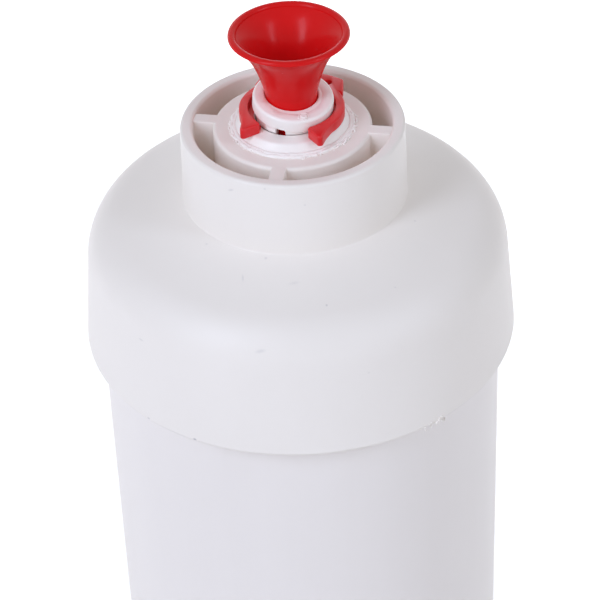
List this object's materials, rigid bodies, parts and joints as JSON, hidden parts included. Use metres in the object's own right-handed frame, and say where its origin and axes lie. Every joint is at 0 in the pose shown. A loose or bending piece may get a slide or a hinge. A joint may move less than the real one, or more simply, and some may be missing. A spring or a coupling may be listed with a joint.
{
  "type": "inline mineralizer filter",
  "caption": "White tubular inline water filter with domed end caps, push-fit ports, red locking clips and trumpet plugs; adds minerals to water flowing through it.",
  "frame": {"origin": "on the tube's axis, half-way along it", "axes": "+Z along the tube, towards the port that the picture shows; +X and +Y along the ribs between collar and boss"},
  "size_m": [0.0546, 0.0546, 0.2796],
  "materials": {
    "housing_plastic": "satin moulded polypropylene",
    "fitting_plastic": "smooth moulded acetal",
    "red_plastic": "smooth moulded acetal",
    "spring_steel": "stamped",
    "seal_rubber": "moulded",
    "felt": "pressed felt",
    "mineral_granules": "loose mineral granules"
  },
  "bodies": {
    "cartridge": {"housing_tube": "housing_plastic", "mineral_bed": "mineral_granules", "upper_end_cap": "housing_plastic", "upper_port_insert": "fitting_plastic", "upper_collet": "fitting_plastic", "upper_grip_teeth": "spring_steel", "upper_o_ring": "seal_rubber", "upper_screen": "housing_plastic", "upper_felt_pad": "felt", "lower_end_cap": "housing_plastic", "lower_port_insert": "fitting_plastic", "lower_collet": "fitting_plastic", "lower_grip_teeth": "spring_steel", "lower_o_ring": "seal_rubber", "lower_screen": "housing_plastic", "lower_felt_pad": "felt"},
    "upper_clip": {"upper_locking_clip": "red_plastic"},
    "lower_clip": {"lower_locking_clip": "red_plastic"},
    "upper_plug": {"upper_transport_plug": "red_plastic"},
    "lower_plug": {"lower_transport_plug": "red_plastic"}
  },
  "joints": [
    {"name": "upper_plug_pull", "type": "slide", "parent": "cartridge", "child": "upper_plug", "axis": [0, 0, 1], "range_m": [0, 0.02]},
    {"name": "lower_plug_pull", "type": "slide", "parent": "cartridge", "child": "lower_plug", "axis": [0, 0, -1], "range_m": [0, 0.02]},
    {"name": "upper_clip_turn", "type": "hinge", "parent": "cartridge", "child": "upper_clip", "pos_m": [0, 0, 0.1287], "axis": [0, 0, 1], "continuous": true},
    {"name": "lower_clip_turn", "type": "hinge", "parent": "cartridge", "child": "lower_clip", "pos_m": [0, 0, -0.1287], "axis": [0, 0, -1], "continuous": true}
  ]
}
